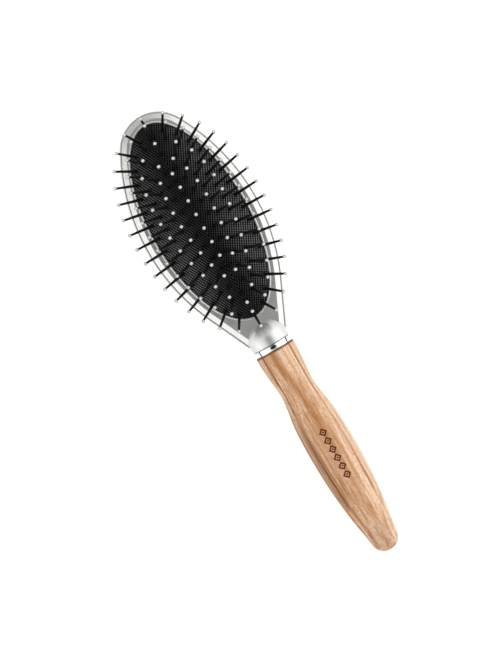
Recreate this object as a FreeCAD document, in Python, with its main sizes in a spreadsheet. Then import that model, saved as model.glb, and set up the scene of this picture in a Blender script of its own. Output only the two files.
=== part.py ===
import FreeCAD, Part
import math
import os
import Sketcher

# A cushioned hair brush lying on its back, in millimetres.
# X is across the head, +Y runs from the handle to the head, +Z is the way the pins point.
# The origin is under the middle of the brush, on the plane that the brush lies on.

DIMENSIONS = {
    # head outline: a round end, two long side arcs and two straight runs into the neck
    "head_end_radius": 19.0,
    "head_side_radius": 100.0,
    "head_half_width": 29.7,
    "head_widest_y": 61.0,
    "neck_taper_y": 19.0,
    "neck_y": -2.2,
    "wall": 2.0,
    "frame_wall": 2.6,
    "edge_wall": 1.0,
    "seam_gap": 0.18,
    "cavity_neck_y": 7.6,
    # heights of the head
    "face_z": 14.0,
    "ceiling_z": 12.0,
    "parting_z": 7.5,
    "edge_z": 10.7,
    "edge_round": 0.7,
    "bevel_width": 2.5,
    "bevel_drop": 2.2,
    "bevel_round": 0.4,
    # convex back: a long ellipsoid, cut flat where the brush lies on it
    "back_radius": 64.3,
    "back_stretch": 2.0,
    "back_centre_z": 62.5,
    # oval cushion: a cap of a tall ellipsoid, a skirt through the opening and a flange under it
    "cushion_y": 62.4,
    "cushion_half_length": 52.2,
    "cushion_half_width": 23.3,
    "cushion_rise": 10.8,
    "cushion_ball_height": 100.0,
    "rubber": 1.2,
    "skirt_wall": 0.8,
    "flange": 2.4,
    "flange_thick": 1.0,
    "fit_gap": 0.15,
    "lip_width": 0.9,
    "lip_height": 0.5,
    "lip_bevel": 0.4,
    "ring_thick": 1.6,
    "vent_radius": 0.45,
    # screws that hold the retaining ring
    "screw_radius": 0.8,
    "screw_head_radius": 1.5,
    "screw_head_thick": 0.9,
    "screw_length": 3.6,
    # pins
    "pin_radius": 0.55,
    "pin_foot_radius": 0.8,
    "pin_length": 17.4,
    "pin_head_radius": 1.15,
    "pin_head_thick": 0.5,
    "tip_radius": 0.87,
    # collar, band and handle share one axis
    "axis_z": 10.8,
    "collar_radius": 10.0,
    "collar_y": -2.7,
    "collar_end_y": -5.4,
    "joint_chamfer": 0.3,
    "band_end_y": -8.5,
    "band_wall": 1.6,
    "band_notch": 0.5,
    "band_crown": 0.12,
    "band_step_length": 0.35,
    "band_step_depth": 0.6,
    "handle_end_y": -120.2,
    "handle_end_round": 5.2,
    "groove_depth": 0.9,
    "groove_end_y": -101.0,
    "groove_fade": 15.0,
    # the hidden joint between head and handle
    "stud_radius": 3.0,
    "stud_head_y": 4.0,
    "stud_tail_y": -29.0,
    "thread_gap": 0.05,
    "nut_flats": 10.0,
    "nut_thick": 5.0,
    "insert_radius": 4.6,
    "insert_head_y": -6.0,
    "insert_length": 25.0,
    "bore_end_y": -33.0,
    "stud_chamfer": 0.5,
}

# handle sections: place along y, half width, half thickness, how far from the middle the grooves run
HANDLE_SECTIONS = [
    (-8.5, 10.1, 10.1, 7.3),
    (-13.5, 10.0, 10.0, 7.25),
    (-21.0, 9.4, 9.4, 7.1),
    (-29.5, 8.7, 8.6, 7.0),
    (-37.0, 9.4, 9.1, 7.3),
    (-45.0, 10.7, 10.2, 7.8),
    (-54.0, 11.3, 10.55, 8.2),
    (-66.0, 11.45, 10.6, 8.4),
    (-82.0, 10.95, 10.2, 7.9),
    (-97.0, 9.45, 8.8, 7.2),
    (-109.0, 7.6, 7.2, 6.6),
    (-120.2, 5.9, 5.6, 6.0),
]

# pin rings: name, pins, half length, half width, egg shape, shift along y, first pin in steps
PIN_RINGS = [
    ("outer_ring", 34, 49.5, 21.4, 0.036, -1.1, 0.0),
    ("second_ring", 30, 44.3, 15.4, 0.053, 0.8, 0.0),
    ("third_ring", 24, 37.8, 9.9, 0.333, -1.3, 0.0),
    ("inner_ring", 18, 28.5, 5.4, 0.19, 1.0, 0.5),
]
CENTRE_ROW = ("centre_row", 7, 65.1, 6.45)  # name, pins, middle along y, pitch
VENT_HOLES = [(-2.9, 81.0), (-3.8, 14.3)]
SCREW_COUNT = 8

RING_STEPS = 2000  # chords that a ring is measured with when its pins are spaced
CUTTER_REACH = 2.0  # how far hole cutters reach past the rubber, in rubber thicknesses
GROOVE_REACH = 2.5  # how far groove cutters stand out of the wood, in groove depths
OVERHANG = 1.0  # how far a cutting block stands past the shape it cuts
SAME_PLACE = 0.01  # edges whose ends differ by less than this lie in one plane

doc = FreeCAD.newDocument("hair_brush")


class Size:
    """A number together with the sheet formula that it comes from."""

    def __init__(self, value, formula):
        self.value = value
        self.formula = formula

    def __add__(self, other):
        other = as_size(other)
        return Size(self.value + other.value, f"({self.formula} + {other.formula})")

    def __sub__(self, other):
        other = as_size(other)
        return Size(self.value - other.value, f"({self.formula} - {other.formula})")

    def __mul__(self, other):
        other = as_size(other)
        return Size(self.value * other.value, f"({self.formula} * {other.formula})")

    def __truediv__(self, other):
        other = as_size(other)
        return Size(self.value / other.value, f"({self.formula} / {other.formula})")

    def __neg__(self):
        return Size(-self.value, f"(0 - {self.formula})")

    def root(self):
        return Size(math.sqrt(self.value), f"sqrt({self.formula})")


def as_size(number):
    return number if isinstance(number, Size) else Size(float(number), repr(float(number)))


def make_sheet():
    """Writes the driving dimensions and the handle's sections, and gives them back as sizes."""
    sheet = doc.addObject("Spreadsheet::Sheet", "dims")
    cells = dict(DIMENSIONS)
    for number, section in enumerate(HANDLE_SECTIONS):
        for word, value in zip(("place", "width", "thick", "groove"), section):
            cells[f"section_{number}_{word}"] = value
    for row, (alias, value) in enumerate(cells.items(), start=1):
        sheet.set(f"A{row}", alias)
        sheet.set(f"B{row}", str(value))
        sheet.setAlias(f"B{row}", alias)
    doc.recompute()
    return {alias: Size(getattr(sheet, alias), f"dims.{alias}") for alias in cells}


dim = make_sheet()


def bind(thing, **sizes):
    """Binds properties to sizes. An underscore pair stands for the dot in Placement.Base.y."""
    for name, size in sizes.items():
        thing.setExpression(name.replace("__", "."), as_size(size).formula)
    return thing


def move_to(thing, x=0, y=0, z=0):
    return bind(thing, Placement__Base__x=x, Placement__Base__y=y, Placement__Base__z=z)


def combine(kind, name, base, tools):
    """Cut, Fuse or Common of a base and one or more tools."""
    result = base
    for number, tool in enumerate(tools, start=1):
        last = number == len(tools)
        step = doc.addObject(kind, name if last else f"{name}_step_{number}")
        step.Base = result
        step.Tool = tool
        result = step
    return result


def cut(name, base, *tools):
    return combine("Part::Cut", name, base, tools)


def fuse(name, base, *tools):
    return combine("Part::Fuse", name, base, tools)


def common(name, base, *tools):
    return combine("Part::Common", name, base, tools)


def origin_plane(body, role):
    return next(plane for plane in body.Origin.OriginFeatures if plane.Role == role)


def sketch_in(body, name, role):
    sketch = body.newObject("Sketcher::SketchObject", name)
    sketch.AttachmentSupport = [(origin_plane(body, role), "")]
    sketch.MapMode = "FlatFace"
    return sketch


def pin_point(sketch, edge, end, x, y):
    """Holds one end of an edge at a place given by two sizes; a plain 0 puts it on the axis."""
    for axis, kind, place in ((-2, "DistanceX", x), (-1, "DistanceY", y)):
        if isinstance(place, Size):
            index = sketch.addConstraint(Sketcher.Constraint(kind, edge, end, place.value))
            sketch.setExpression(f"Constraints[{index}]", place.formula)
        else:
            sketch.addConstraint(Sketcher.Constraint("PointOnObject", edge, end, axis))


def draw_outline(sketch, points, arcs=None):
    """Closed outline through the points. arcs gives the radius of the edges that are arcs;
    an arc bulges to the right of the way from its first point to its second."""
    arcs = arcs or {}
    places = [FreeCAD.Vector(as_size(x).value, as_size(y).value, 0) for x, y in points]
    count = len(points)
    for edge, first in enumerate(places):
        second = places[(edge + 1) % count]
        if edge not in arcs:
            sketch.addGeometry(Part.LineSegment(first, second))
            continue
        radius = arcs[edge].value
        chord = second - first
        half = chord.Length / 2
        side = FreeCAD.Vector(chord.y, -chord.x, 0).normalize()
        centre = (first + second) / 2 - side * math.sqrt(radius**2 - half**2)
        angles = [math.atan2(p.y - centre.y, p.x - centre.x) for p in (first, second)]
        circle = Part.Circle(centre, FreeCAD.Vector(0, 0, 1), radius)
        sketch.addGeometry(Part.ArcOfCircle(circle, angles[0], angles[1]))
    for edge in range(count):
        following = (edge + 1) % count
        sketch.addConstraint(Sketcher.Constraint("Coincident", edge, 2, following, 1))
        pin_point(sketch, edge, 1, *points[edge])
    for edge, radius in arcs.items():
        index = sketch.addConstraint(Sketcher.Constraint("Radius", edge, radius.value))
        sketch.setExpression(f"Constraints[{index}]", radius.formula)
    return sketch


def new_body(name, x=0, y=0, z=0):
    return move_to(doc.addObject("PartDesign::Body", name), x, y, z)


def pad(body, sketch, length):
    feature = body.newObject("PartDesign::Pad", f"{body.Name}_pad")
    feature.Profile = sketch
    return bind(feature, Length=length)


def revolve(body, sketch, axis):
    feature = body.newObject("PartDesign::Revolution", f"{body.Name}_revolution")
    feature.Profile = sketch
    feature.ReferenceAxis = (sketch, [axis])
    feature.Angle = 360
    return feature


def edges_at(shape, z):
    """Names of the edges that lie at one height."""
    return [
        f"Edge{number}"
        for number, edge in enumerate(shape.Edges, start=1)
        if abs(edge.BoundBox.ZMin - z) < SAME_PLACE and abs(edge.BoundBox.ZMax - z) < SAME_PLACE
    ]


def head_outline(sketch, inset=0, end_y=dim["neck_y"]):
    """The teardrop, drawn a constant distance inside the head's outer edge."""
    end_radius = dim["head_end_radius"] - inset
    side_radius = dim["head_side_radius"] - inset
    centre_x = dim["head_half_width"] - dim["head_side_radius"]
    widest_y = dim["head_widest_y"]
    between = dim["head_side_radius"] - dim["head_end_radius"]
    rise = (between * between - centre_x * centre_x).root()
    shoulder_x = -(end_radius * centre_x / between)
    shoulder_y = widest_y + rise + end_radius * rise / between
    drop = (widest_y - dim["neck_taper_y"]) * side_radius / dim["head_side_radius"]
    reach = (side_radius * side_radius - drop * drop).root()
    taper_x = centre_x + reach
    taper_y = widest_y - drop
    neck_x = taper_x - (taper_y - end_y) * drop / reach
    points = [
        (neck_x, end_y),
        (taper_x, taper_y),
        (shoulder_x, shoulder_y),
        (-shoulder_x, shoulder_y),
        (-taper_x, taper_y),
        (-neck_x, end_y),
    ]
    return draw_outline(sketch, points, {1: side_radius, 2: end_radius, 3: side_radius})


def head_block(name, low, high, inset=0, end_y=dim["neck_y"]):
    """The head's outline as a straight-sided block between two heights."""
    body = new_body(name, z=low)
    outline = head_outline(sketch_in(body, f"{name}_outline", "XY_Plane"), inset, end_y)
    pad(body, outline, as_size(high) - low)
    return body


def oval_block(name, low, high, spread=0):
    """An oval prism on the cushion's centre, larger than the cushion by spread."""
    oval = doc.addObject("Part::Ellipse", f"{name}_oval")
    oval.Placement.Rotation = FreeCAD.Rotation(FreeCAD.Vector(0, 0, 1), 90)
    bind(oval, MajorRadius=dim["cushion_half_length"] + spread)
    bind(oval, MinorRadius=dim["cushion_half_width"] + spread)
    move_to(oval, y=dim["cushion_y"], z=low)
    block = doc.addObject("Part::Extrusion", name)
    block.Base = oval
    block.DirMode = "Custom"
    block.Dir = FreeCAD.Vector(0, 0, 1)
    block.Solid = True
    return bind(block, LengthFwd=as_size(high) - low)


def bevelled_oval(name, low, height, spread, bevel):
    """An oval block whose upper edge is bevelled all round."""
    block = oval_block(f"{name}_block", low, low + height, spread)
    doc.recompute()
    top = low.value + height.value
    rim = [n for n, edge in enumerate(block.Shape.Edges, start=1) if edge.BoundBox.ZMin > top - SAME_PLACE]
    bevelled = doc.addObject("Part::Chamfer", name)
    bevelled.Base = block
    bevelled.Edges = [(number, bevel.value, bevel.value) for number in rim]
    return bevelled


def dome_sizes(depth=0):
    """Half width, half length, half height and centre height of the ellipsoid whose cap is the dome."""
    tall = dim["cushion_ball_height"]
    share = (tall - dim["cushion_rise"]) / tall
    girth = (as_size(1) - share * share).root()
    half_width = dim["cushion_half_width"] / girth - depth
    half_length = dim["cushion_half_length"] / girth - depth
    return half_width, half_length, tall - depth, dim["face_z"] + dim["cushion_rise"] - tall


def dome(name, depth=0):
    half_width, half_length, half_height, centre_z = dome_sizes(depth)
    ball = doc.addObject("Part::Ellipsoid", name)
    bind(ball, Radius1=half_height, Radius2=half_width, Radius3=half_length)
    return move_to(ball, y=dim["cushion_y"], z=centre_z)


def dome_point(x, y):
    """The point of the dome over (x, y) and the direction square to it."""
    half_width, half_length, half_height, centre_z = (size.value for size in dome_sizes())
    along = y - dim["cushion_y"].value
    share = (x / half_width) ** 2 + (along / half_length) ** 2
    up = half_height * math.sqrt(1 - share)
    square = FreeCAD.Vector(x / half_width**2, along / half_length**2, up / half_height**2)
    return FreeCAD.Vector(x, y, centre_z + up), square.normalize()


def axis_rod(name, radius, start_y, end_y):
    """A round rod on the handle's axis, between two places along y."""
    rod = doc.addObject("Part::Cylinder", name)
    rod.Placement.Rotation = FreeCAD.Rotation(FreeCAD.Vector(1, 0, 0), -90)
    bind(rod, Radius=radius, Height=as_size(end_y) - start_y)
    return move_to(rod, y=start_y, z=dim["axis_z"])


def hexagon_block(name, flats, start_y, length):
    """A hexagon on the handle's axis."""
    prism = doc.addObject("Part::Prism", name)
    prism.Polygon = 6
    prism.Placement.Rotation = FreeCAD.Rotation(FreeCAD.Vector(1, 0, 0), -90)
    bind(prism, Circumradius=flats / as_size(3).root(), Height=length)
    return move_to(prism, y=start_y, z=dim["axis_z"])


def copies(name, pattern, placements):
    """One node of identical separate solids, each a copy of the pattern."""
    group = doc.addObject("Part::Feature", name)
    group.Shape = Part.makeCompound([pattern.Shape.transformed(p.toMatrix()) for p in placements])
    return group


def ring_places(count, half_length, half_width, egg, shift, first):
    """Evenly spaced points (x, y) on an egg-shaped ring, starting at the head's end."""

    def at(turn):
        angle = 2 * math.pi * turn
        across = half_width * math.sin(angle) * (1 + egg * math.cos(angle))
        return across, dim["cushion_y"].value + shift + half_length * math.cos(angle)

    lengths = [0.0]
    for step in range(RING_STEPS):
        lengths.append(lengths[-1] + math.dist(at(step / RING_STEPS), at((step + 1) / RING_STEPS)))
    places = []
    for pin in range(count):
        wanted = lengths[-1] * (pin + first) / count
        step = next(i for i, length in enumerate(lengths) if length >= wanted)
        places.append(at(step / RING_STEPS))
    return places


def pin_rings():
    """Ring name to the placements of its pins: local z is square to the dome."""
    places = {name: ring_places(*sizes) for name, *sizes in PIN_RINGS}
    name, count, middle, pitch = CENTRE_ROW
    places[name] = [(0.0, middle + pitch * (pin - (count - 1) / 2)) for pin in range(count)]
    return {name: [dome_placement(x, y) for x, y in ring] for name, ring in places.items()}


def dome_placement(x, y):
    point, square = dome_point(x, y)
    return FreeCAD.Placement(point, FreeCAD.Rotation(FreeCAD.Vector(0, 0, 1), square))


def pin_pattern():
    """One pin, standing on the dome at the origin: flat head inside the rubber, tapered shank."""
    seat = -(dim["rubber"] + dim["fit_gap"] * 2)
    foot = seat - dim["pin_head_thick"]
    body = new_body("pin_pattern")
    profile = [
        (0, foot),
        (dim["pin_head_radius"], foot),
        (dim["pin_head_radius"], seat),
        (dim["pin_foot_radius"], seat),
        (dim["pin_radius"], dim["pin_length"] - dim["tip_radius"]),
        (0, dim["pin_length"] - dim["tip_radius"]),
    ]
    revolve(body, draw_outline(sketch_in(body, "pin_profile", "XZ_Plane"), profile), "V_Axis")
    return body


def tip_pattern():
    """One ball tip with the blind hole that the pin's end fills. The hole is wider than the pin's
    end by the pin's taper over the ball's radius."""
    centre = dim["pin_length"] - dim["tip_radius"]
    radius = dim["tip_radius"]
    taper = (dim["pin_foot_radius"] - dim["pin_radius"]) / dim["pin_length"]
    shank = dim["pin_radius"] + taper * radius * 2
    body = new_body("tip_pattern")
    profile = [
        (shank, centre - (radius * radius - shank * shank).root()),
        (0, centre + radius),
        (0, centre),
        (shank, centre),
    ]
    revolve(body, draw_outline(sketch_in(body, "tip_profile", "XZ_Plane"), profile, {0: radius}), "V_Axis")
    return body


def screw_pattern():
    """One screw, its head's underside at the origin."""
    body = new_body("screw_pattern")
    profile = [
        (0, -dim["screw_head_thick"]),
        (dim["screw_head_radius"], -dim["screw_head_thick"]),
        (dim["screw_head_radius"], 0),
        (dim["screw_radius"], 0),
        (dim["screw_radius"], dim["screw_length"]),
        (0, dim["screw_length"]),
    ]
    revolve(body, draw_outline(sketch_in(body, "screw_profile", "XZ_Plane"), profile), "V_Axis")
    return body


def screw_placements():
    low = dim["ceiling_z"] - dim["flange_thick"] - dim["ring_thick"]
    out = dim["flange"].value / 2
    places = []
    for number in range(SCREW_COUNT):
        angle = 2 * math.pi * (number + 0.5) / SCREW_COUNT
        x = (dim["cushion_half_width"].value + out) * math.sin(angle)
        y = dim["cushion_y"].value + (dim["cushion_half_length"].value + out) * math.cos(angle)
        places.append(FreeCAD.Placement(FreeCAD.Vector(x, y, low.value), FreeCAD.Rotation()))
    return places


def holes(name, radius, low, high, placements):
    """Straight holes along the z axis of each placement, as one group of cutters."""
    tool = Part.makeCylinder(as_size(radius).value, high - low, FreeCAD.Vector(0, 0, low))
    group = doc.addObject("Part::Feature", name)
    group.Shape = Part.makeCompound([tool.transformed(p.toMatrix()) for p in placements])
    return group


def collar():
    """Domed collar at the neck: a ball that runs into a short cylinder."""
    body = new_body("collar", z=dim["axis_z"])
    radius = dim["collar_radius"]
    chamfer = dim["joint_chamfer"]
    profile = [
        (0, dim["collar_end_y"]),
        (radius - chamfer, dim["collar_end_y"]),
        (radius, dim["collar_end_y"] + chamfer),
        (radius, dim["collar_y"]),
        (0, dim["collar_y"] + radius),
    ]
    sketch = draw_outline(sketch_in(body, "collar_profile", "XY_Plane"), profile, {3: radius})
    revolve(body, sketch, "V_Axis")
    return body


def face_plate():
    """The teardrop plate with its bevelled shoulder; it stands inside the back shell's edge."""
    inset = dim["edge_wall"] + dim["seam_gap"]
    body = head_block("face_plate", dim["parting_z"], dim["face_z"], inset)
    doc.recompute()
    block = body.Tip
    bevel = body.newObject("PartDesign::Chamfer", "shoulder_bevel")
    bevel.Base = (block, edges_at(block.Shape, dim["face_z"].value - dim["parting_z"].value))
    bevel.ChamferType = "Two distances"
    bind(bevel, Size=dim["bevel_drop"], Size2=dim["bevel_width"])
    doc.recompute()
    foot = dim["face_z"].value - dim["parting_z"].value - dim["bevel_drop"].value
    crown = body.newObject("PartDesign::Fillet", "shoulder_round")
    crown.Base = (bevel, edges_at(bevel.Shape, foot))
    bind(crown, Radius=dim["bevel_round"])
    return body


def head_frame():
    """Plate and collar in one moulding, open for the cushion and hollow behind."""
    lip = cut(
        "cushion_lip",
        bevelled_oval("lip_outside", dim["face_z"], dim["lip_height"], dim["lip_width"], dim["lip_bevel"]),
        oval_block("lip_inside", dim["face_z"], dim["face_z"] + dim["lip_height"]),
    )
    bore_radius = dim["stud_radius"] + dim["thread_gap"]
    return cut(
        "head_frame",
        fuse("plate_and_collar", fuse("plate_with_lip", face_plate(), lip), collar()),
        oval_block("cushion_opening", dim["parting_z"], dim["face_z"] + dim["lip_height"]),
        head_block(
            "front_cavity", dim["parting_z"], dim["ceiling_z"], dim["frame_wall"], dim["cavity_neck_y"]
        ),
        axis_rod("collar_bore", bore_radius, dim["collar_end_y"], dim["stud_head_y"]),
        hexagon_block("nut_trap", dim["nut_flats"], dim["stud_head_y"] - dim["nut_thick"], dim["nut_thick"]),
        screw_holes("frame_screw_holes", dim["thread_gap"]),
    )


def screw_holes(name, gap):
    radius = dim["screw_radius"] + gap
    return holes(name, radius, 0.0, dim["screw_length"].value + gap.value, screw_placements())


def back_ball(name, depth=0):
    """The long ellipsoid that the back is part of, or its inner face at a depth."""
    radius = dim["back_radius"] - depth
    ball = doc.addObject("Part::Ellipsoid", name)
    bind(ball, Radius1=radius, Radius2=radius, Radius3=dim["back_radius"] * dim["back_stretch"] - depth)
    return move_to(ball, y=dim["head_widest_y"], z=dim["back_centre_z"])


def back_block():
    """The back shell's straight-sided outline with its rounded upper edge."""
    body = head_block("back_block", 0, dim["edge_z"])
    doc.recompute()
    block = body.Tip
    crown = body.newObject("PartDesign::Fillet", "edge_round")
    crown.Base = (block, edges_at(block.Shape, dim["edge_z"].value))
    bind(crown, Radius=dim["edge_round"])
    return body


def back_shell():
    """Convex rear cover, hollow, with an edge that stands round the face plate. It is cut away
    where the collar's ball comes through."""
    neck_y = dim["cavity_neck_y"]
    outside = common("back_outside", back_block(), back_ball("back_curve"))
    inside = common(
        "back_inside",
        head_block("back_cavity", dim["wall"], dim["parting_z"], dim["wall"], neck_y),
        back_ball("back_inner_curve", dim["wall"]),
    )
    seat = head_block("plate_seat", dim["parting_z"], dim["edge_z"] + OVERHANG, dim["edge_wall"])
    return cut("back_shell", outside, inside, seat, collar_space())


def collar_space():
    """The collar's ball, which the back shell makes room for."""
    ball = doc.addObject("Part::Sphere", "collar_ball_space")
    bind(ball, Radius=dim["collar_radius"])
    move_to(ball, y=dim["collar_y"], z=dim["axis_z"])
    return ball


def retaining_ring():
    """Flat oval ring that holds the cushion's flange against the frame."""
    high = dim["ceiling_z"] - dim["flange_thick"]
    low = high - dim["ring_thick"]
    return cut(
        "retaining_ring",
        oval_block("ring_outside", low, high, dim["flange"] - dim["fit_gap"]),
        oval_block("ring_inside", low, high, -dim["fit_gap"]),
        screw_holes("ring_screw_holes", dim["thread_gap"]),
    )


def cushion_pad(rings):
    """Domed rubber pad: cap, skirt and flange in one, with a hole for each pin and two vents."""
    top = dim["face_z"] + dim["cushion_rise"] + OVERHANG
    flange_z = dim["ceiling_z"] - dim["flange_thick"]
    gap = dim["fit_gap"]
    outside = fuse(
        "pad_outside",
        common("pad_cap", dome("pad_dome"), oval_block("pad_skirt", flange_z, top, -gap)),
        oval_block("pad_flange", flange_z, dim["ceiling_z"], dim["flange"] - gap),
    )
    inside = common(
        "pad_inside",
        dome("pad_inner_dome", dim["rubber"]),
        oval_block("pad_inner_skirt", flange_z, top, -gap - dim["skirt_wall"]),
    )
    pins = [placement for ring in rings.values() for placement in ring]
    vents = [dome_placement(x, y) for x, y in VENT_HOLES]
    reach = dim["rubber"].value * CUTTER_REACH
    return cut(
        "cushion_pad",
        outside,
        inside,
        screw_holes("pad_screw_holes", gap),
        holes("pin_holes", dim["pin_foot_radius"] + gap, -reach, reach, pins),
        holes("vent_holes", dim["vent_radius"], -reach, reach, vents),
    )


def chrome_band():
    """Polished crowned ring, stepped down at both ends, with a shallow notch in line with each of
    the handle's grooves."""
    body = new_body("chrome_band", z=dim["axis_z"])
    outer = dim["collar_radius"]
    crown = dim["band_crown"]
    foot = outer - dim["band_step_depth"]
    low_y = dim["band_end_y"] + dim["band_step_length"]
    high_y = dim["collar_end_y"] - dim["band_step_length"]
    half = (high_y - low_y) / 2
    crown_radius = (half * half + crown * crown) / (crown * 2)
    profile = [
        (outer - dim["band_wall"], dim["band_end_y"]),
        (foot, dim["band_end_y"]),
        (foot, low_y),
        (outer - crown, low_y),
        (outer - crown, high_y),
        (foot, high_y),
        (foot, dim["collar_end_y"]),
        (outer - dim["band_wall"], dim["collar_end_y"]),
    ]
    sketch = draw_outline(sketch_in(body, "band_profile", "XY_Plane"), profile, {3: crown_radius})
    revolve(body, sketch, "V_Axis")
    diagonal = math.sqrt(0.5)
    bottom = (outer - dim["band_notch"]) * diagonal
    rim = (outer + dim["band_notch"]) * diagonal
    spread = dim["band_notch"] * 2 * diagonal
    vee = [(bottom, bottom), (rim + spread, rim - spread), (rim - spread, rim + spread)]
    notch = body.newObject("PartDesign::Pocket", "band_notch_cut")
    notch.Profile = draw_outline(sketch_in(body, "band_notch_profile", "XZ_Plane"), vee)
    notch.Type = "ThroughAll"
    notch.Midplane = True
    around = body.newObject("PartDesign::PolarPattern", "band_notches")
    around.Originals = [notch]
    around.Axis = (notch.Profile[0], ["N_Axis"])
    around.Angle = 360
    around.Occurrences = 4
    body.Tip = around
    return body


def handle_sections():
    """The oval sections that the handle is lofted through."""
    sections = []
    for number in range(len(HANDLE_SECTIONS)):
        place, width, thick = (dim[f"section_{number}_{word}"] for word in ("place", "width", "thick"))
        oval = doc.addObject("Part::Ellipse", f"handle_section_{number}")
        oval.Placement.Rotation = FreeCAD.Rotation(FreeCAD.Vector(1, 0, 0), 90)
        bind(oval, MajorRadius=width, MinorRadius=thick)
        sections.append(move_to(oval, y=place, z=dim["axis_z"]))
    return sections


def groove_slices():
    """The V of one groove at each section: its bottom and its two upper corners.
    The groove keeps its depth along the handle and rises out of the wood at its end."""
    full_depth = dim["groove_depth"].value
    fade = dim["groove_fade"].value
    slices = []
    for place, width, thick, across in HANDLE_SECTIONS[:-1]:
        level = thick * math.sqrt(1 - (across / width) ** 2)
        outward = FreeCAD.Vector(across / width**2, 0, level / thick**2).normalize()
        side = FreeCAD.Vector(outward.z, 0, -outward.x)
        depth = full_depth * min(1.0, (place - dim["groove_end_y"].value) / fade)
        foot = FreeCAD.Vector(across, place, level) - outward * depth
        reach = full_depth * GROOVE_REACH
        slices.append([foot, foot + (outward + side) * reach, foot + (outward - side) * reach])
    return slices


def groove_cutters():
    """Four V-shaped cutters along the handle, two on its face and two on its back."""
    wires = [Part.makePolygon(corners + corners[:1]) for corners in groove_slices()]
    cutter = Part.makeLoft(wires, True, True)
    pair = [cutter, cutter.mirror(FreeCAD.Vector(), FreeCAD.Vector(1, 0, 0))]
    pair += [one.mirror(FreeCAD.Vector(), FreeCAD.Vector(0, 0, 1)) for one in pair]
    tools = []
    for number, shape in enumerate(pair):
        tool = doc.addObject("Part::Feature", f"groove_cutter_{number}")
        tool.Shape = shape
        tool.Placement.Base.z = dim["axis_z"].value
        tools.append(tool)
    return tools


def handle():
    """Turned wooden handle with a rounded end, a spigot for the band and a bore for the insert."""
    loft = doc.addObject("Part::Loft", "handle_loft")
    loft.Sections = handle_sections()
    loft.Solid = True
    doc.recompute()
    end_y = dim["handle_end_y"].value
    rim = [n for n, edge in enumerate(loft.Shape.Edges, start=1) if edge.BoundBox.YMax < end_y + SAME_PLACE]
    rounded = doc.addObject("Part::Fillet", "handle_rounded")
    rounded.Base = loft
    rounded.Edges = [(number, dim["handle_end_round"].value, dim["handle_end_round"].value) for number in rim]
    spigot_radius = dim["collar_radius"] - dim["band_wall"]
    spigot = axis_rod("spigot", spigot_radius, dim["band_end_y"], dim["collar_end_y"])
    return cut(
        "handle",
        fuse("handle_and_spigot", rounded, spigot),
        axis_rod("insert_bore", dim["insert_radius"], dim["bore_end_y"], dim["collar_end_y"]),
        *groove_cutters(),
    )


def threaded_insert():
    """Brass sleeve in the handle's bore."""
    tail_y = dim["insert_head_y"] - dim["insert_length"]
    return cut(
        "threaded_insert",
        axis_rod("insert_outside", dim["insert_radius"], tail_y, dim["insert_head_y"]),
        axis_rod("insert_thread", dim["stud_radius"] + dim["thread_gap"], tail_y, dim["insert_head_y"]),
    )


def captive_nut():
    """Hexagon nut moulded into the collar."""
    low_y = dim["stud_head_y"] - dim["nut_thick"]
    return cut(
        "captive_nut",
        hexagon_block("nut_outside", dim["nut_flats"], low_y, dim["nut_thick"]),
        axis_rod("nut_thread", dim["stud_radius"] + dim["thread_gap"], low_y, dim["stud_head_y"]),
    )


def joining_stud():
    """Threaded rod from the collar's nut to the handle's insert, with chamfered ends."""
    rod = axis_rod("stud_rod", dim["stud_radius"], dim["stud_tail_y"], dim["stud_head_y"])
    doc.recompute()
    ends = [n for n, edge in enumerate(rod.Shape.Edges, start=1) if edge.BoundBox.YLength < SAME_PLACE]
    stud = doc.addObject("Part::Chamfer", "joining_stud")
    stud.Base = rod
    stud.Edges = [(number, dim["stud_chamfer"].value, dim["stud_chamfer"].value) for number in ends]
    return stud


def check(parts):
    """Stops with a message if any feature failed or any sub-part isn't sound."""
    failed = [o.Name for o in doc.Objects if {"Invalid", "Error"} & set(o.State)]
    if failed:
        raise RuntimeError(f"these features failed: {failed}")
    for part in parts:
        if part.Shape.isNull() or not part.Shape.isValid():
            raise RuntimeError(f"{part.Label} has no valid shape")


def main():
    doc.recompute()
    rings = pin_rings()
    pin = pin_pattern()
    tip = tip_pattern()
    screw = screw_pattern()
    doc.recompute()
    parts = [
        head_frame(),
        back_shell(),
        retaining_ring(),
        copies("ring_screws", screw, screw_placements()),
        cushion_pad(rings),
        captive_nut(),
        joining_stud(),
        threaded_insert(),
        chrome_band(),
        handle(),
    ]
    for name, placements in rings.items():
        parts.append(copies(f"{name}_pins", pin, placements))
        parts.append(copies(f"{name}_tips", tip, placements))
    doc.recompute()
    check(parts)
    os.makedirs("parts", exist_ok=True)
    for part in parts:
        part.Shape.exportStep(f"parts/{part.Label}.step")


main()
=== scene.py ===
import math

import bpy
from mathutils import Matrix, Vector
from mathutils.geometry import delaunay_2d_cdt
from mathutils.kdtree import KDTree


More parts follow.
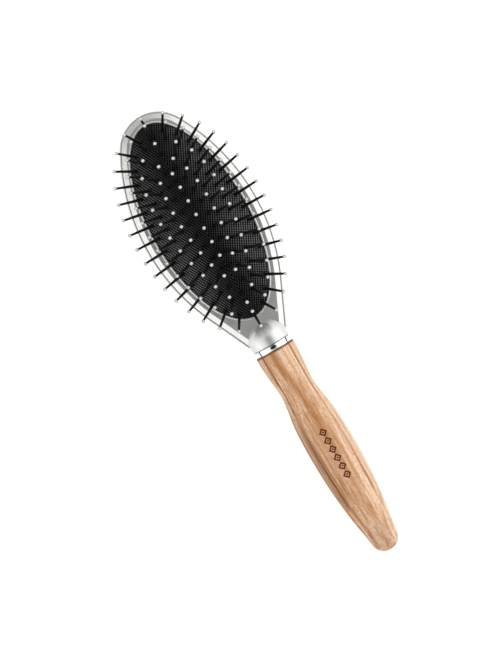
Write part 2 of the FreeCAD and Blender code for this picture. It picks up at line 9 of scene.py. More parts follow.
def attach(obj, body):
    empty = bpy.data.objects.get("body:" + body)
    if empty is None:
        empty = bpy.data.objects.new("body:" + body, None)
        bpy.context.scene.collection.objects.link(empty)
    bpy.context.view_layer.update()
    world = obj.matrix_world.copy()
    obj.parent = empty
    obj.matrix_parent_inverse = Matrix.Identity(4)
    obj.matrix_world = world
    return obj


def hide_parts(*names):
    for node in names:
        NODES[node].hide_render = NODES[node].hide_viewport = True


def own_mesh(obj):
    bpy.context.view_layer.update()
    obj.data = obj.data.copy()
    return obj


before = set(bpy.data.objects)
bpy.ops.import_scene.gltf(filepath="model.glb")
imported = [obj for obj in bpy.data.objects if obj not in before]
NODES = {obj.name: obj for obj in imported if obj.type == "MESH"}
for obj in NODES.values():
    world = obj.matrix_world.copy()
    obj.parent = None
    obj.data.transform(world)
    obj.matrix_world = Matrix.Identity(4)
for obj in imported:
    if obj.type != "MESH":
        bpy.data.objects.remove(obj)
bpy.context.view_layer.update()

# A cushioned hair brush lying on its back. X is across the head, +Y runs from the handle to the
# head, +Z is the way the pins point. Lengths are in millimetres up to the point where a mesh is
# made, and in metres after it.

MM = 0.001
RINGS = ("outer_ring", "second_ring", "third_ring", "inner_ring", "centre_row")

# The cushion's dome is the cap of an ellipsoid that stands on the plate's face.
FACE_Z = 14.0
CUSHION_Y = 62.4
CUSHION_HALF_LENGTH = 52.2
CUSHION_HALF_WIDTH = 23.3
CUSHION_RISE = 10.8
BALL_HEIGHT = 100.0

# The handle, the band and the collar share this axis.
AXIS_Z = 10.8
HANDLE_TOP_Y = -8.5
HANDLE_END_Y = -120.2

# handle sections: place along y, half width, half thickness, and how far from the middle the
# grooves run
HANDLE_SECTIONS = [
    (-8.5, 10.1, 10.1, 7.3),
    (-13.5, 10.0, 10.0, 7.25),
    (-21.0, 9.4, 9.4, 7.1),
    (-29.5, 8.7, 8.6, 7.0),
    (-37.0, 9.4, 9.1, 7.3),
    (-45.0, 10.7, 10.2, 7.8),
    (-54.0, 11.3, 10.55, 8.2),
    (-66.0, 11.45, 10.6, 8.4),
    (-82.0, 10.95, 10.2, 7.9),
    (-97.0, 9.45, 8.8, 7.2),
    (-109.0, 7.6, 7.2, 6.6),
    (-120.2, 5.9, 5.6, 6.0),
]


# ---------------------------------------------------------------- small helpers

def new_material(name):
    """A node material with its shader, ready for nodes to be added."""
    material = bpy.data.materials.new(name)
    material.use_nodes = True
    tree = material.node_tree
    return material, tree, tree.nodes["Principled BSDF"]


def feed(tree, socket, value):
    """Links a socket to another node's output, or sets it to a plain value."""
    if isinstance(value, bpy.types.NodeSocket):
        tree.links.new(value, socket)
    else:
        socket.default_value = value


def node(tree, kind, inputs=None, **settings):
    """Adds a node; inputs maps a socket's name or number to a value or to another socket."""
    made = tree.nodes.new(kind)
    for name, value in settings.items():
        setattr(made, name, value)
    for name, value in (inputs or {}).items():
        feed(tree, made.inputs[name], value)
    return made


def maths(tree, operation, *values):
    """The result of one Math node."""
    return node(tree, "ShaderNodeMath", dict(enumerate(values)), operation=operation).outputs[0]


def blend_colours(tree, factor, first, second, kind="MIX"):
    """The result of a colour mix; each side is a colour or a socket."""
    inputs = {0: factor, 6: first, 7: second}
    made = node(tree, "ShaderNodeMix", inputs, data_type="RGBA", blend_type=kind)
    return made.outputs[2]


def ramp(tree, factor, stops):
    """A colour ramp; stops are (place, grey) or (place, colour)."""
    made = node(tree, "ShaderNodeValToRGB", {0: factor})
    elements = made.color_ramp.elements
    while len(elements) < len(stops):
        elements.new(1.0)
    for element, (place, colour) in zip(elements, stops):
        element.position = place
        element.color = (colour, colour, colour, 1) if isinstance(colour, float) else (*colour, 1)
    return made.outputs[0]


def position(tree, scale=(1, 1, 1)):
    """Object coordinates in millimetres, times the scale along each axis."""
    coords = node(tree, "ShaderNodeTexCoord").outputs["Object"]
    inputs = {"Vector": coords, "Scale": [s / MM for s in scale]}
    return node(tree, "ShaderNodeMapping", inputs).outputs[0]


def noise(tree, vector, scale=1.0, detail=2.0, rough=0.5):
    """Cloudy noise round 0.5; scale is the number of blots in a millimetre."""
    inputs = {"Vector": vector, "Scale": scale, "Detail": detail, "Roughness": rough}
    return node(tree, "ShaderNodeTexNoise", inputs).outputs[0]


def surface(tree, shader, colour, roughness):
    """Gives the shader its colour and its roughness."""
    feed(tree, shader.inputs["Base Color"], colour)
    feed(tree, shader.inputs["Roughness"], roughness)


def bump(tree, shader, height, strength, distance):
    """Fine relief from a height; distance is its depth in millimetres."""
    inputs = {"Height": height, "Strength": strength, "Distance": distance * MM}
    feed(tree, shader.inputs["Normal"], node(tree, "ShaderNodeBump", inputs).outputs[0])


def mesh_object(name, points, faces, material, sharp):
    """A smooth-shaded piece from points in millimetres; edges over sharp degrees stay hard."""
    mesh = bpy.data.meshes.new(name)
    mesh.from_pydata([Vector(p) * MM for p in points], [], faces)
    mesh.validate()
    mesh.shade_smooth()
    mesh.set_sharp_from_angle(angle=math.radians(sharp))
    mesh.materials.append(material)
    piece = bpy.data.objects.new(name, mesh)
    bpy.context.scene.collection.objects.link(piece)
    return piece


def cad_material(node_name, material):
    """Gives a carried-over CAD node a better material."""
    for material_slot in NODES[node_name].material_slots:
        material_slot.material = material


def smooth_step(value):
    """0 below 0, 1 above 1, and a smooth rise between."""
    value = min(1.0, max(0.0, value))
    return value * value * (3 - 2 * value)


# ---------------------------------------------------------------- materials

def silver_paint():
    """Satin metallic lacquer with a very fine sparkle."""
    material, tree, shader = new_material("satin_silver")
    shader.inputs["Metallic"].default_value = 0.62
    flakes = noise(tree, position(tree), scale=3.5, detail=3.0)
    tint = ramp(tree, flakes, [(0.35, (0.60, 0.605, 0.575)), (0.65, (0.66, 0.665, 0.635))])
    surface(tree, shader, tint, ramp(tree, flakes, [(0.3, 0.28), (0.7, 0.31)]))
    bump(tree, shader, flakes, 0.04, 0.04)
    return material


def black_plastic(name, grey, rough):
    """Dark moulded plastic with a faint grain."""
    material, tree, shader = new_material(name)
    speckle = noise(tree, position(tree), scale=2.0)
    tint = ramp(tree, speckle, [(0.3, grey * 0.8), (0.7, grey * 1.2)])
    surface(tree, shader, tint, ramp(tree, speckle, [(0.3, rough - 0.05), (0.7, rough + 0.05)]))
    bump(tree, shader, speckle, 0.1, 0.05)
    return material


def tip_nylon():
    """Ball tips, faintly mottled, with painted shade: grey at the sides and pale at the top."""
    material, tree, shader = new_material("pale_tips")
    mottle = noise(tree, position(tree), scale=1.2)
    tint = ramp(tree, mottle, [(0.3, (0.74, 0.74, 0.74)), (0.7, (0.84, 0.84, 0.83))])
    # painted shade: the tips are darker where they face sideways and palest where they face up
    normal = node(tree, "ShaderNodeTexCoord").outputs["Normal"]
    upward = node(tree, "ShaderNodeSeparateXYZ", {0: normal}).outputs[2]
    fade = ramp(tree, upward, [(0.1, 0.28), (0.6, 0.42), (1.0, 1.0)])
    surface(tree, shader, blend_colours(tree, 1.0, tint, fade, "MULTIPLY"), 0.28)
    bump(tree, shader, mottle, 0.05, 0.05)
    return material


def turning_marks(tree):
    """Faint rings round the handle's axis, as a lathe or a polishing wheel leaves them."""
    return noise(tree, position(tree, (0.2, 6.0, 0.2)), scale=1.5)


def metal(name, colour, rough):
    """Bare or plated metal with faint turning marks."""
    material, tree, shader = new_material(name)
    shader.inputs["Metallic"].default_value = 1.0
    marks = turning_marks(tree)
    darker = tuple(c * 0.9 for c in colour)
    tint = ramp(tree, marks, [(0.3, darker), (0.7, colour)])
    surface(tree, shader, tint, ramp(tree, marks, [(0.3, rough), (0.7, rough + 0.06)]))
    bump(tree, shader, marks, 0.04, 0.02)
    return material


BAND_MIDDLE_Y = -6.95
BAND_CROWN_HALF = 1.2  # half length of the band between its two end steps
# the painted shade in the band's end steps
STEP_PAINTED_SHADE = (0.10, 0.105, 0.11, 1)


def chrome():
    """Bright plating; the step at each end of the band gets painted shade, to show as a dark line
    between the parts.
    """
    material, tree, shader = new_material("polished_chrome")
    shader.inputs["Metallic"].default_value = 1.0
    along = node(tree, "ShaderNodeSeparateXYZ", {0: position(tree)}).outputs[1]
    from_middle = maths(tree, "ABSOLUTE", maths(tree, "SUBTRACT", along, BAND_MIDDLE_Y))
    unshaded_plate = maths(tree, "LESS_THAN", from_middle, BAND_CROWN_HALF)
    marks = turning_marks(tree)
    plate = ramp(tree, marks, [(0.3, (0.80, 0.81, 0.82)), (0.7, (0.88, 0.89, 0.90))])
    # painted shade in both end steps, a shadow line where the band meets the collar and the wood
    colour = blend_colours(tree, unshaded_plate, STEP_PAINTED_SHADE, plate)
    surface(tree, shader, colour, ramp(tree, marks, [(0.3, 0.04), (0.7, 0.08)]))
    bump(tree, shader, marks, 0.03, 0.02)
    return material


# The weave is mirrored about the middle of the pad. Each set of threads is the way that it
# repeats, in degrees from X, and its pitch.
STRONG_THREADS = (-27, 1.10)
FINE_THREADS = (60, 1.12)


def threads(tree, out, along, way, pitch):
    """One set of parallel threads: 1 along the crown of each thread, 0 between threads."""
    turn = math.radians(way)
    place = maths(
        tree,
        "ADD",
        maths(tree, "MULTIPLY", out, math.cos(turn)),
        maths(tree, "MULTIPLY", along, math.sin(turn)),
    )
    wave = maths(tree, "SINE", maths(tree, "MULTIPLY", place, 2 * math.pi / pitch))
    return maths(tree, "MULTIPLY_ADD", wave, 0.5, 0.5)


def woven_rubber():
    """Black rubber pad faced with a fine weave; only the crowns of the threads shine."""
    material, tree, shader = new_material("woven_rubber")
    place = node(tree, "ShaderNodeSeparateXYZ", {0: position(tree)})
    out, along = maths(tree, "ABSOLUTE", place.outputs[0]), place.outputs[1]
    strong = threads(tree, out, along, *STRONG_THREADS)
    fine = threads(tree, out, along, *FINE_THREADS)
    narrow = maths(tree, "POWER", strong, 1.6)
    crowns = maths(tree, "MULTIPLY", narrow, maths(tree, "MULTIPLY_ADD", fine, 0.7, 0.3))
    # painted shade: the weave is fainter along the middle of the pad, so the middle shows darker
    fade = ramp(tree, maths(tree, "DIVIDE", out, CUSHION_HALF_WIDTH), [(0.1, 0.48), (0.6, 1.0)])
    crowns = maths(tree, "MULTIPLY", crowns, fade)
    # the weave's threads, with painted shade: the gaps between them near black, their crowns paler
    tint = ramp(tree, crowns, [(0.0, 0.002), (0.25, 0.004), (0.9, 0.05)])
    surface(tree, shader, tint, ramp(tree, crowns, [(0.0, 0.6), (1.0, 0.36)]))
    shine = shader.inputs["Specular IOR Level"]
    shine.default_value = 0.35
    feed(tree, shine, ramp(tree, crowns, [(0.05, 0.02), (0.7, 1.0)]))
    bump(tree, shader, maths(tree, "MULTIPLY_ADD", fine, 0.5, strong), 0.5, 0.22)
    return material


# Colours of the wood; the grain's go from its dark bands to its pale ones.
GRAIN_TONES = [
    (0.34, (0.46, 0.21, 0.08)),
    (0.44, (0.66, 0.38, 0.20)),
    (0.52, (0.82, 0.54, 0.345)),
    (0.64, (0.95, 0.70, 0.50)),
]
STREAK_ORANGE = (0.42, 0.16, 0.03, 1)
PORE_BROWN = (0.25, 0.12, 0.05, 1)
# the colour of the painted shade in the grooves and at the band's edge
GROOVE_SHADE_BROWN = (0.27, 0.085, 0.014, 1)
BURNT_BROWN = (0.11, 0.022, 0.004, 1)
SHADE_WIDTH = 22
EDGE_SHADE_REACH = 1.6  # how far down from the band the painted shade on the handle's edge is laid


def streak(tree, across, middle, half_width):
    """1 along a line down the handle, fading to 0 at half_width on each side of it."""
    offset = maths(tree, "ABSOLUTE", maths(tree, "SUBTRACT", across, middle))
    share = maths(tree, "DIVIDE", offset, half_width)
    return ramp(tree, share, [(0.0, 1.0), (0.35, 0.75), (1.0, 0.0)])


def grain(tree, across, down, fibres):
    """The wood's colour: growth bands, fibres and flecks, with some painted light and shade. down
    is 1 at the handle's end.
    """
    bands = noise(tree, position(tree, (0.42, 0.012, 0.42)), detail=3.0, rough=0.6)
    # painted light makes it pale right of the middle; low on the left it is darkest, partly grain
    # and partly painted shade
    low = ramp(tree, down, [(0.36, 0.25), (0.55, 1.0), (0.78, 1.0), (0.9, 0.3)])
    dark_left_grain_and_shade = maths(tree, "MULTIPLY", streak(tree, across, -9.5, 6.5), low)
    bands = maths(tree, "MULTIPLY_ADD", dark_left_grain_and_shade, -0.16, bands)
    bands = maths(tree, "MULTIPLY_ADD", streak(tree, across, 6.5, 5.0), 0.09, bands)
    fine = ramp(tree, fibres, [(0.3, (0.74, 0.66, 0.58)), (0.7, (1.08, 1.08, 1.08))])
    colour = blend_colours(tree, 1.0, ramp(tree, bands, GRAIN_TONES), fine, "MULTIPLY")
    flecks = noise(tree, position(tree, (1.5, 0.9, 1.5)), rough=0.7)
    mottle = ramp(tree, flecks, [(0.35, (0.84, 0.79, 0.74)), (0.65, (1.06, 1.06, 1.06))])
    return blend_colours(tree, 1.0, colour, mottle, "MULTIPLY")


def orange_streak(tree, across, down, fibres):
    """A streak that crosses the middle from left to right and fades out halfway down."""
    drift = noise(tree, position(tree, (0.02, 0.03, 0.02)), detail=1.0)
    crossing_share = ramp(tree, down, [(0.1, 0.0), (0.34, 1.0)])
    crossing_x = maths(tree, "MULTIPLY_ADD", crossing_share, 3.0, -2.6)
    middle = maths(tree, "MULTIPLY_ADD", drift, 3.0, maths(tree, "SUBTRACT", crossing_x, 1.2))
    ribbon = streak(tree, across, middle, 2.6)
    ribbon = maths(tree, "MULTIPLY", ribbon, ramp(tree, down, [(0.40, 1.0), (0.56, 0.35)]))
    return maths(tree, "MULTIPLY", ribbon, ramp(tree, fibres, [(0.3, 1.0), (0.65, 0.75)]))


def groove_painted_shade(tree, along, down):
    """How dark the painted shade is in the grooves, fainter in parts, and along the edge by the
    band.
    """
    # painted shade in the grooves, and a painted shadow line along the edge by the band
    groove = node(tree, "ShaderNodeAttribute", attribute_name=GROOVE_ATTRIBUTE).outputs["Fac"]
    fade = ramp(tree, down, [(0.26, 1.0), (0.38, 0.2), (0.58, 0.25), (0.70, 0.7), (0.80, 0.5)])
    from_edge = maths(tree, "SUBTRACT", along, HANDLE_TOP_Y - EDGE_SHADE_REACH)
    edge = ramp(tree, from_edge, [(0.6, 0.0), (1.0, 1.0)])
    return maths(tree, "MAXIMUM", maths(tree, "MULTIPLY", groove, fade), edge)


def painted_edge_shade(tree, across, down):
    """Painted shade: darker sides, the left most, and a darker end; 1 is unshaded."""
    side = ramp(
        tree,
        maths(tree, "MULTIPLY_ADD", across, 1 / SHADE_WIDTH, 0.5),
        [(0.04, 0.66), (0.20, 0.95), (0.40, 1.0), (0.82, 1.0), (0.96, 0.84)],
    )
    return maths(tree, "MULTIPLY", side, ramp(tree, down, [(0.78, 1.0), (0.95, 0.84)]))


def wood():
    """Pale ash with long grain, an orange streak, painted shade in the grooves and on the sides and
    end, and a burnt ornament.
    """
    material, tree, shader = new_material("pale_wood")
    place = node(tree, "ShaderNodeSeparateXYZ", {0: position(tree)})
    across, along, up = place.outputs
    down = maths(tree, "DIVIDE", along, HANDLE_END_Y)
    fibres = noise(tree, position(tree, (3.2, 0.10, 3.2)), detail=3.0, rough=0.65)
    pores = noise(tree, position(tree, (2.6, 0.28, 2.6)), detail=1.0)
    dashes = ramp(tree, pores, [(0.30, 1.0), (0.38, 0.0)])
    burnt = burnt_ornament(tree, across, along, up)
    colour = grain(tree, across, down, fibres)
    for share, tone in (
        (orange_streak(tree, across, down, fibres), STREAK_ORANGE),
        (maths(tree, "MULTIPLY", dashes, 0.45), PORE_BROWN),
        # painted shade in the grooves and at the edge by the band
        (groove_painted_shade(tree, along, down), GROOVE_SHADE_BROWN),
        (burnt, BURNT_BROWN),
    ):
        colour = blend_colours(tree, share, colour, tone)
    # painted shade on the sides and at the end
    colour = blend_colours(tree, 1.0, colour, painted_edge_shade(tree, across, down), "MULTIPLY")
    polish = ramp(tree, fibres, [(0.3, 0.60), (0.7, 0.48)])
    surface(tree, shader, colour, maths(tree, "MAXIMUM", polish, burnt))
    # pores and burnt marks are sunk into the fibres
    height = maths(tree, "SUBTRACT", fibres, maths(tree, "MULTIPLY", dashes, 0.8))
    height = maths(tree, "SUBTRACT", height, maths(tree, "MULTIPLY", burnt, 2.0))
    bump(tree, shader, height, 0.25, 0.08)
    return material


ORNAMENT_TOP_Y = -51.5
ORNAMENT_PITCH = 4.6
ORNAMENT_COUNT = 6
ORNAMENT_HALF_WIDTH = 2.2
# in each diamond 0 is the middle and 1 the corners: its line, the line's half width and its dot
DIAMOND_LINE = 0.74
DIAMOND_LINE_HALF = 0.24
DIAMOND_DOT = 0.28


def burnt_ornament(tree, across, along, up):
    """A plain chain of hollow diamonds with a dot in each, on the handle's face: 1 where burnt."""
    steps = maths(tree, "DIVIDE", maths(tree, "SUBTRACT", ORNAMENT_TOP_Y, along), ORNAMENT_PITCH)
    begun = maths(tree, "GREATER_THAN", steps, 0.0)
    going_on = maths(tree, "LESS_THAN", steps, float(ORNAMENT_COUNT))
    inside = maths(tree, "MULTIPLY", begun, going_on)
    inside = maths(tree, "MULTIPLY", inside, maths(tree, "GREATER_THAN", up, AXIS_Z))
    lengthwise = maths(tree, "ABSOLUTE", maths(tree, "SUBTRACT", maths(tree, "FRACT", steps), 0.5))
    sideways = maths(tree, "DIVIDE", maths(tree, "ABSOLUTE", across), ORNAMENT_HALF_WIDTH)
    diamond = maths(tree, "ADD", maths(tree, "MULTIPLY", lengthwise, 2.0), sideways)
    from_line = maths(tree, "ABSOLUTE", maths(tree, "SUBTRACT", diamond, DIAMOND_LINE))
    line = maths(tree, "LESS_THAN", from_line, DIAMOND_LINE_HALF)
    dot = maths(tree, "LESS_THAN", diamond, DIAMOND_DOT)
    return maths(tree, "MULTIPLY", maths(tree, "MAXIMUM", line, dot), inside)


# ---------------------------------------------------------------- the cushion

def dome_sizes():
    """Half width, half length and centre height of the ellipsoid whose cap is the dome."""
    share = (BALL_HEIGHT - CUSHION_RISE) / BALL_HEIGHT
    girth = math.sqrt(1 - share * share)
    centre_z = FACE_Z + CUSHION_RISE - BALL_HEIGHT
    return CUSHION_HALF_WIDTH / girth, CUSHION_HALF_LENGTH / girth, centre_z


def dome_point(x, y):
    """The point of the dome over (x, y) and the direction square to it."""
    half_width, half_length, centre_z = dome_sizes()
    along = y - CUSHION_Y
    up = BALL_HEIGHT * math.sqrt(1 - (x / half_width) ** 2 - (along / half_length) ** 2)
    square = Vector((x / half_width**2, along / half_length**2, up / BALL_HEIGHT**2))
    return Vector((x, y, centre_z + up)), square.normalized()


def separate_solids(mesh):
    """The points of each solid of a mesh, in millimetres."""
    parent = list(range(len(mesh.vertices)))

    def root(index):
        while parent[index] != index:
            parent[index] = parent[parent[index]]
            index = parent[index]
        return index

    for edge in mesh.edges:
        first, second = edge.vertices
        parent[root(second)] = root(first)
    solids = {}
    for vertex in mesh.vertices:
        solids.setdefault(root(vertex.index), []).append(vertex.co / MM)
    return solids.values()


def pin_axes():
    """Where each pin crosses the dome, read from the CAD pins: one (x, y) for each solid."""
    places = []
    for ring in RINGS:
        for points in separate_solids(NODES[f"{ring}_pins"].data):
            points.sort(key=lambda p: p.z)
            # the pin's axis runs between the middles of its lowest and its highest eighth
            count = max(3, len(points) // 8)
            low = sum(points[:count], Vector()) / count
            high = sum(points[-count:], Vector()) / count
            places.append(crossing(low, high))
    return places


HALVINGS = 40


def crossing(low, high):
    """Where the line from low to high meets the dome, by halving the line again and again."""
    for _ in range(HALVINGS):
        middle = (low + high) / 2
        surface_point, _ = dome_point(middle.x, middle.y)
        if middle.z < surface_point.z:
            low = middle
        else:
            high = middle
    return middle.x, middle.y


HOLE_RADIUS = 0.95
HOLE_STEPS = 14
HOLE_REACHES = (0.0, 0.35, 0.8)  # the hole's edge and the two rings of points round it
VENTS = [(-2.9, 81.0), (-3.8, 14.3)]
VENT_RADIUS = 0.45
RING_MARGIN = 0.5  # how far those rings stay inside the cushion's outline
NET_PITCH = 0.95
NET_CLEARANCE = 1.15  # how far the net of points stays away from a hole's edge
NET_MARGIN = 0.8  # and from the cushion's outline
RIM_STEPS = 220
RIM_BAND = 0.3  # edges this near to the outline belong to the outer rim
RIM_GAP = 0.15  # between the rubber and the opening it sits in
RUBBER = 1.2
SINK = 0.3  # how deep the rubber is drawn in at a hole
SINK_START = 0.8  # it rises from this share of the hole's radius
SINK_REACH = 0.9  # over this distance
PLATE_WALL = 2.0
FLANGE_REACH = 2.25
FLANGE_THICK = 1.0
SKIRT_WALL = 0.8


def rim_point(angle, spread):
    """The x and y of a point on the cushion's outline, grown by spread."""
    return (
        (CUSHION_HALF_WIDTH + spread) * math.sin(angle),
        CUSHION_Y + (CUSHION_HALF_LENGTH + spread) * math.cos(angle),
    )


def inside_oval(x, y, spread):
    """Whether (x, y) lies inside the cushion's outline, grown by spread."""
    across = x / (CUSHION_HALF_WIDTH + spread)
    along = (y - CUSHION_Y) / (CUSHION_HALF_LENGTH + spread)
    return across * across + along * along < 1


def make_cushion(material):
    """Domed rubber pad: a sheet with a real hole for each pin, its skirt and its flange."""
    holes = [(x, y, HOLE_RADIUS) for x, y in pin_axes()]
    holes += [(x, y, VENT_RADIUS) for x, y in VENTS]
    nearest = hole_finder(holes)
    flat, triangles = cushion_net(holes, nearest)
    points, faces = domed_sheet(flat, triangles, nearest)
    count = len(flat)
    rim, walls = sheet_edges(flat, triangles)
    faces += [(second, first, first + count, second + count) for first, second in walls]
    # skirt and flange: rings of points below the outer edge, each as long as the rim
    skirt = [
        (-RIM_GAP, FACE_Z - PLATE_WALL),
        (FLANGE_REACH, FACE_Z - PLATE_WALL),
        (FLANGE_REACH, FACE_Z - PLATE_WALL - FLANGE_THICK),
        (-RIM_GAP - SKIRT_WALL, FACE_Z - PLATE_WALL - FLANGE_THICK),
    ]
    last = rim
    for spread, z in skirt:
        start = len(points)
        for index in rim:
            x, y = flat[index]
            angle = math.atan2(
                x / (CUSHION_HALF_WIDTH - RIM_GAP),
                (y - CUSHION_Y) / (CUSHION_HALF_LENGTH - RIM_GAP),
            )
            points.append(Vector((*rim_point(angle, spread), z)))
        ring = list(range(start, len(points)))
        bridge(faces, last, ring)
        last = ring
    bridge(faces, last, [index + count for index in rim])
    return mesh_object("cushion", points, faces, material, sharp=50)


def cushion_net(holes, nearest):
    """Flat points and triangles that fill the cushion's outline between its holes."""
    turns = [2 * math.pi * step / RIM_STEPS for step in range(RIM_STEPS)]
    flat = [Vector(rim_point(angle, -RIM_GAP)) for angle in turns]
    loops = [list(range(RIM_STEPS))]
    for x, y, radius in holes:
        centre, square = dome_point(x, y)
        side = square.orthogonal().normalized()
        other = square.cross(side)
        for number, reach in enumerate(HOLE_REACHES):
            start = len(flat)
            for step in range(HOLE_STEPS):
                angle = 2 * math.pi * (step + 0.5 * number) / HOLE_STEPS
                outward = side * math.cos(angle) + other * math.sin(angle)
                point = centre + outward * (radius + reach)
                if number == 0 or inside_oval(point.x, point.y, -RING_MARGIN):
                    flat.append(point.xy)
            if number == 0:
                loops.append(list(range(start, len(flat))))
    row = 0
    y = CUSHION_Y - CUSHION_HALF_LENGTH
    while y < CUSHION_Y + CUSHION_HALF_LENGTH:
        x = -CUSHION_HALF_WIDTH + (row % 2) * NET_PITCH / 2
        while x < CUSHION_HALF_WIDTH:
            radius, away = nearest(x, y)
            if away > radius + NET_CLEARANCE and inside_oval(x, y, -NET_MARGIN):
                flat.append(Vector((x, y)))
            x += NET_PITCH
        y += NET_PITCH * math.sqrt(0.75)
        row += 1
    edges = [(loop[i], loop[(i + 1) % len(loop)]) for loop in loops for i in range(len(loop))]
    points, _, triangles, origins, _, _ = delaunay_2d_cdt(flat, edges, [], 0, 1e-5)
    # keep the triangles that lie inside the oval and outside every hole
    loop_of = {old: number for number, loop in enumerate(loops) if number for old in loop}
    ring_of = [next((loop_of[old] for old in olds if old in loop_of), 0) for olds in origins]
    kept = []
    for triangle in triangles:
        middle = sum((points[i] for i in triangle), Vector((0, 0))) / 3
        first, second, third = (ring_of[i] for i in triangle)
        in_hole = first and first == second == third
        if not in_hole and inside_oval(middle.x, middle.y, -RIM_GAP):
            kept.append(triangle)
    return points, kept


def hole_finder(holes):
    """A function that gives the radius of the hole nearest to (x, y) and the distance to it."""
    tree = KDTree(len(holes))
    for number, (x, y, _) in enumerate(holes):
        tree.insert((x, y, 0), number)
    tree.balance()

    def nearest(x, y):
        _, number, away = tree.find((x, y, 0))
        return holes[number][2], away

    return nearest


def domed_sheet(flat, triangles, nearest):
    """The points and faces of the rubber's two sides, drawn in round the holes."""
    top, under = [], []
    for point in flat:
        surface_point, square = dome_point(point.x, point.y)
        radius, away = nearest(point.x, point.y)
        sink = SINK * (1 - smooth_step((away - radius * SINK_START) / SINK_REACH))
        top.append(surface_point - square * sink)
        under.append(surface_point - square * (sink + RUBBER))
    count = len(flat)
    faces = [tuple(t) for t in triangles]
    faces += [tuple(i + count for i in reversed(t)) for t in triangles]
    return top + under, faces


def sheet_edges(flat, triangles):
    """The outer rim's points in order, and the edges that run round the holes."""
    # a dict keeps the edges in order, so that the mesh is the same each run
    used = {}
    for a, b, c in triangles:
        for edge in ((a, b), (b, c), (c, a)):
            used[edge] = True
    following, walls = {}, []
    for first, second in used:
        if (second, first) in used:
            continue
        if inside_oval(*((flat[first] + flat[second]) / 2), -RIM_GAP - RIM_BAND):
            walls.append((first, second))
        else:
            following[first] = second
    rim = [next(iter(following))]
    while following[rim[-1]] != rim[0]:
        rim.append(following[rim[-1]])
    return rim, walls


def bridge(faces, first, second):
    """Quads between two closed rings of the same length."""
    count = len(first)
    for i in range(count):
        j = (i + 1) % count
        faces.append((first[j], first[i], second[i], second[j]))


# ---------------------------------------------------------------- the handle

GROOVE_ATTRIBUTE = "groove"
GROOVE_DEPTH = 0.9
GROOVE_END_Y = -101.0
GROOVE_FADE = 15.0
GROOVE_EDGE = 0.86  # the grooves stay within this share of the handle's half width
# profile across a groove: distance from its middle towards the face's middle, depth as a share
GROOVE_PROFILE = [
    (-1.6, 0.0), (-1.2, 0.04), (-0.8, 0.22), (-0.45, 0.6), (-0.2, 0.93), (0.0, 1.0),
    (0.2, 0.90), (0.45, 0.50), (0.7, 0.10), (0.95, -0.16), (1.25, -0.22), (1.6, -0.06),
    (2.0, 0.12), (2.5, 0.10), (3.1, 0.0),
]
# steps between two grooves, across a face and across a side
FACE_STEPS = 22
SIDE_STEPS = 12


def handle_at(y):
    """Half width, half thickness and groove place at y, on smooth curves through the sections."""
    rows = HANDLE_SECTIONS
    index = 0
    while index < len(rows) - 2 and y < rows[index + 1][0]:
        index += 1
    low, high = rows[index], rows[index + 1]
    span = high[0] - low[0]
    t = (y - low[0]) / span
    before = rows[index - 1] if index else low
    after = rows[index + 2] if index + 2 < len(rows) else high
    values = []
    for column in (1, 2, 3):
        slope_low = (high[column] - before[column]) / (high[0] - before[0])
        slope_high = (after[column] - low[column]) / (after[0] - low[0])
        values.append(
            low[column] * (2 * t**3 - 3 * t**2 + 1)
            + slope_low * span * (t**3 - 2 * t**2 + t)
            + high[column] * (3 * t**2 - 2 * t**3)
            + slope_high * span * (t**3 - t**2)
        )
    return values


def groove_angles(width, thick, groove_x):
    """Points round the handle, closer together at the grooves, as (angle, groove depth share)."""
    turn = math.acos(groove_x / width)
    pace = math.hypot(width * math.sin(turn), thick * math.cos(turn))
    # the four grooves in order round the handle: their angle and which way the face's middle lies
    grooves = [(turn, 1), (math.pi - turn, -1), (math.pi + turn, 1), (2 * math.pi - turn, -1)]
    angles = []
    for number, (middle, way) in enumerate(grooves):
        profile = GROOVE_PROFILE[::way]
        across = [(middle + way * place / pace, share) for place, share in profile]
        angles += across
        next_middle, next_way = grooves[(number + 1) % 4]
        start = across[-1][0]
        end = next_middle + next_way * GROOVE_PROFILE[::next_way][0][0] / pace
        if number == 3:
            end += 2 * math.pi
        steps = FACE_STEPS if number % 2 == 0 else SIDE_STEPS
        angles += [(start + (end - start) * step / steps, 0.0) for step in range(1, steps)]
    return angles


def handle_ring(y, inset=0.0, radius=None):
    """One ring of (point, groove share) round the handle at y, drawn in by inset. With a radius
    it is a plain circle of as many points."""
    width, thick, groove_x = handle_at(y)
    angles = groove_angles(width, thick, min(groove_x, width * GROOVE_EDGE))
    depth = GROOVE_DEPTH * min(1.0, max(0.0, (y - GROOVE_END_Y) / GROOVE_FADE))
    ring = []
    for angle, share in angles:
        if radius is not None:
            up = AXIS_Z + radius * math.sin(angle)
            ring.append((Vector((radius * math.cos(angle), y, up)), 0.0))
            continue
        base = Vector(((width - inset) * math.cos(angle), y, (thick - inset) * math.sin(angle)))
        outward = Vector((math.cos(angle) / width, 0, math.sin(angle) / thick)).normalized()
        point = base - outward * (depth * share)
        ring.append((point + Vector((0, 0, AXIS_Z)), max(0.0, share) * depth / GROOVE_DEPTH))
    return ring


BORE_END_Y = -33.0
BORE_RADIUS = 4.6
SPIGOT_TOP_Y = -5.4
SPIGOT_RADIUS = 8.4
HANDLE_EDGE = 0.4
RING_PITCH = 0.8
HANDLE_END_ROUND = 5.2
END_STEPS = 12


